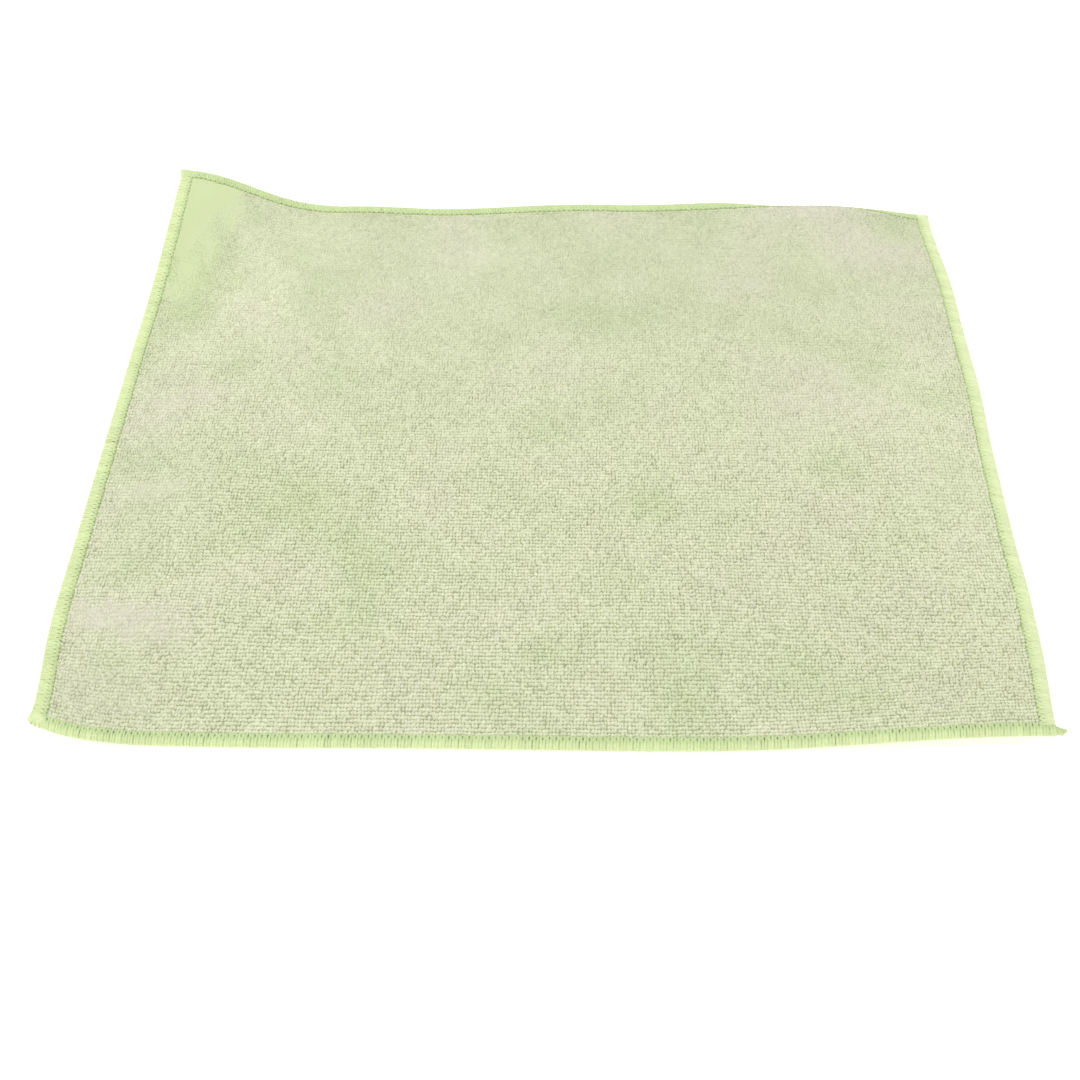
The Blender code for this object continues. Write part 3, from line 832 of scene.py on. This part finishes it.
# For one side's stitches: the foot of each along the edging's inner line, how far it is turned round its
# foot, its reach inwards as a share and its slant. Feet are evenly apart, and a fan's are all at the corner.
def stitchFeet(quarters):
    pitch, depth, fan = cloth["side"] / edging["stitches"], edging["depth"], edging["turn"]
    start = cloth["edging"] - half - edging["starts"][quarters]
    end = half - (edging["tailGap"] if quarters == tailSide else depth)
    straight = int(round((end - start) / pitch))
    feet = start + (np.arange(straight) + 0.5) * (end - start) / straight
    angles, reach = np.zeros(straight), np.ones(straight)
    if quarters == tailSide:
        reach[-2:] = edging["tailReach"]
    else:
        travelled = (np.arange(fan) + 0.5) / fan * 2 * depth
        before, after = np.arctan2(travelled, depth), np.pi / 2 - np.arctan2(2 * depth - travelled, depth)
        feet = np.append(feet, np.full(fan, end))
        angles = np.append(angles, np.where(travelled < depth, before, after))
        reach = np.append(reach, np.full(fan, edging["fanReach"]))
    fading = np.minimum(feet - start, end - feet) / (edging["slantFade"] * pitch)
    return feet, angles, reach, edging["slants"][quarters] * np.clip(fading, 0, 1)


# For each stitch a path of (along, inset, level), as from a foot at 0: the route and its mirror image,
# shaken, slanted, and drawn in or out by its reach. Half widths and half thicknesses come with each step.
def stitchPaths(quarters, angles, reach, slants, dice):
    pitch = cloth["side"] / edging["stitches"]
    route = np.concatenate([stitchRoute, stitchRoute[-2::-1] * (-1, 1, 1)])
    count, steps = len(angles), len(route)
    shakes = dice.normal(0, 1, (5, count, 1))  # the fifth row is spare
    inward = route[:, 1] / edging["depth"]
    fanWidth = edging["fanWidth"] - edging["fanNarrowing"] * inward[:, None]
    offset = route[:, 0] * pitch * np.where(angles > 0, fanWidth, 1).T
    offset = offset + (shakes[0] + shakes[1] * inward) * edging["shake"] * pitch
    offset = offset + slants[:, None] * pitch * (inward - 0.5)
    fixed = edging["fixedInset"]
    moved = fixed + (route[:, 1] - fixed) * (reach[:, None] + edging["reachShake"] * shakes[2])
    inset = np.where(inward > edging["movedFrom"], moved, route[:, 1])
    level = np.broadcast_to(route[:, 2], (count, steps))
    plump = 1 + edging["thicknessShake"] * shakes[3] * np.ones(steps)
    widths = edging["halfWidth"] * edging["plumpSides"][quarters] * plump
    return np.stack([offset, inset, level], axis=-1), widths, edging["halfThickness"] * plump


# The tail's strands: smooth lines through their routes, tapered to their ends, with their half widths
def tailPaths(steps):
    paths = np.stack([smoothLine(np.array(strand["route"]), steps) for strand in tailStrands])
    taper = np.append(np.linspace(1, tailTaper["slow"], steps - 2), tailTaper["ends"])
    return paths, np.array([strand["half"] for strand in tailStrands])[:, None] * taper


# One side's run: a tube along each stitch's path, turned round its foot, moved to its side and laid in the
# cloth's folds. The front run has the tail's strands too.
def makeEdging(quarters, material):
    name = sideNames[quarters]
    dice = np.random.default_rng(edging["seed"] + quarters)
    depth = edging["depth"]
    feet, angles, reach, slants = stitchFeet(quarters)
    paths, widths, thicknesses = stitchPaths(quarters, angles, reach, slants, dice)
    sewn, steps = paths.shape[:2]
    cores = np.full((sewn, 1), edging["coreLevel"])
    if quarters == tailSide:
        strands, halves = tailPaths(steps)
        more = len(strands)
        paths, widths = np.concatenate([paths, strands]), np.concatenate([widths, halves])
        thicknesses = np.concatenate([thicknesses, halves])
        cores = np.append(cores, np.full((more, 1), tailCoreLevel), axis=0)
        feet, angles = np.append(feet, np.full(more, half)), np.append(angles, np.zeros(more))
    count = len(feet)
    tubes, angle = threadTubes(paths, widths, thicknesses, cores)
    along, inset = fanned(tubes, feet, angles, edging["hooks"][quarters])
    points = layCloth(*turned(along, inset - half, quarters), tubes[..., 2]).reshape(-1, 3)
    shape = tubes.shape[:3]
    wall, ends = tubeFaces(*shape)
    # In the smooth corner painted green the threads lie closer, so their flanks lose their painted shade and
    # no painted holes show
    smooth = greenFacingStrength(*turned(feet, np.full(count, depth - half), quarters))[:, None, None]
    # Painted shade of a needle hole shows on the inner flanks of a stitch's two legs, on the upper face, at
    # one place of their length
    fromHole = (paths[..., 1:2] / depth - edging["holeAt"]) / edging["holeWidth"]
    upper = (paths[..., 2:] > edging["upperFrom"]) & (np.arange(count) < sewn)[:, None, None]
    flank = np.clip(-np.cos(angle), 0, 1) * (np.sin(angle) > -0.1)
    holeShade = np.exp(-fromHole**2) * upper * flank
    lengths = np.linalg.norm(np.diff(paths, axis=1, prepend=paths[:, :1]), axis=-1)
    yarn = np.stack(np.broadcast_arrays(
        np.cos(angle) * edging["yarnRound"],
        np.sin(angle) * edging["yarnRound"] + np.arange(count)[:, None, None] * edging["yarnApart"],
        np.cumsum(lengths, axis=1)[:, :, None] * edging["yarnAlong"]), axis=-1)
    # The way each face turns, lifted by side and in the smooth corner: where it turns down and in it takes
    # painted shade
    facing = np.sin(angle) + edging["flankShadeLift"][quarters] + smooth
    attributes = {
        "innerShare": (tubes[..., 1] / depth).ravel() + edging["innerSides"][quarters],
        "outside": np.broadcast_to(facing, shape).ravel(),
        "holeShade": (holeShade * edging["holeSides"][quarters] * (1 - smooth)).ravel(),
        "tone": np.broadcast_to(dice.random((count, 1, 1)), shape).ravel(),
        "sunlit": edging["sunlitSides"][quarters] * (1 - (tubes[..., 1] / depth).ravel()),
        "yarn": yarn.reshape(-1, 3),
    }
    bakeMap = tubeMap(count, steps, angle)
    piece = makePiece("overlock" + name.capitalize(), points, [wall, ends], material, attributes, bakeMap)
    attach(piece, "root")
    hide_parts("overlock_" + name)
    return piece


studio = {
    "floorHalf": 4.0,
    "floorColour": (0.93, 0.93, 0.93, 1),
    "floorGlow": 0.45,  # so that the pale floor comes out nearly white
    "sky": 0.98,
    "skySeen": 0.10,  # how much brighter the camera sees it
    "keyPlace": (-0.7, 0.35, 1.25),
    "keyWidth": 1.4,
    "keyPower": 6.0,  # watts
}


# A white sky, a pale floor and one soft lamp high at the left
def makeStudio():
    floorMaterial, _, _ = newMaterial("paleFloor", {
        "Base Color": studio["floorColour"], "Roughness": 1.0, "Specular IOR Level": 0.0,
        "Emission Color": (1, 1, 1, 1), "Emission Strength": studio["floorGlow"],
    })
    points = np.array([(-1, -1), (1, -1), (1, 1), (-1, 1)]) * studio["floorHalf"]
    points = np.concatenate([points, np.full((4, 1), -0.0001)], axis=1)
    floor = makePiece("studioFloor", points, [np.array([(0, 1, 2, 3)])], floorMaterial)
    world = bpy.data.worlds.new("studio")
    world.use_nodes = True
    wire = Wire(world.node_tree)
    background = world.node_tree.nodes["Background"]
    background.inputs["Color"].default_value = (1, 1, 1, 1)
    seen = wire.node("LightPath", None, None, "Is Camera Ray")
    connect(seen * studio["skySeen"] + studio["sky"], background, "Strength")
    bpy.context.scene.world = world
    lamp = bpy.data.lights.new("softKey", "AREA")
    lamp.shape, lamp.size, lamp.energy = "DISK", studio["keyWidth"], studio["keyPower"]
    key = bpy.data.objects.new("softKey", lamp)
    key.location = studio["keyPlace"]
    key.rotation_euler = (-key.location).to_track_quat("-Z", "Y").to_euler()
    bpy.context.scene.collection.objects.link(key)


camera = {
    "place": (0.01009, -0.67497, 0.49816),
    "down": 39.18,  # degrees below the level
    "yaw": 1.156,  # to the left
    "roll": -0.071,
    "lens": 70.36,  # on a 36 mm sensor
}


# It starts looking straight down, and is turned by its yaw, its tilt and its roll
def makeCamera():
    made = bpy.data.objects.new("camera", bpy.data.cameras.new("camera"))
    made.data.sensor_width, made.data.lens = 36.0, camera["lens"]
    turns = [("Z", camera["yaw"]), ("X", 90 - camera["down"]), ("Z", camera["roll"])]
    matrix = Matrix.Translation(Vector(camera["place"]))
    for axis, degrees in turns:
        matrix = matrix @ Matrix.Rotation(np.radians(degrees), 4, axis)
    made.matrix_world = matrix
    made.data.clip_start, made.data.clip_end = 0.01, 50.0  # metres
    bpy.context.scene.collection.objects.link(made)
    bpy.context.scene.camera = made


makeCamera()
makeStudio()
pilePieces = makePilePieces()
threads = threadMaterial()
edgingPieces = [makeEdging(quarters, threads) for quarters in range(4)]
sheet = makeGround()
bpy.context.scene.view_settings.view_transform = "Standard"
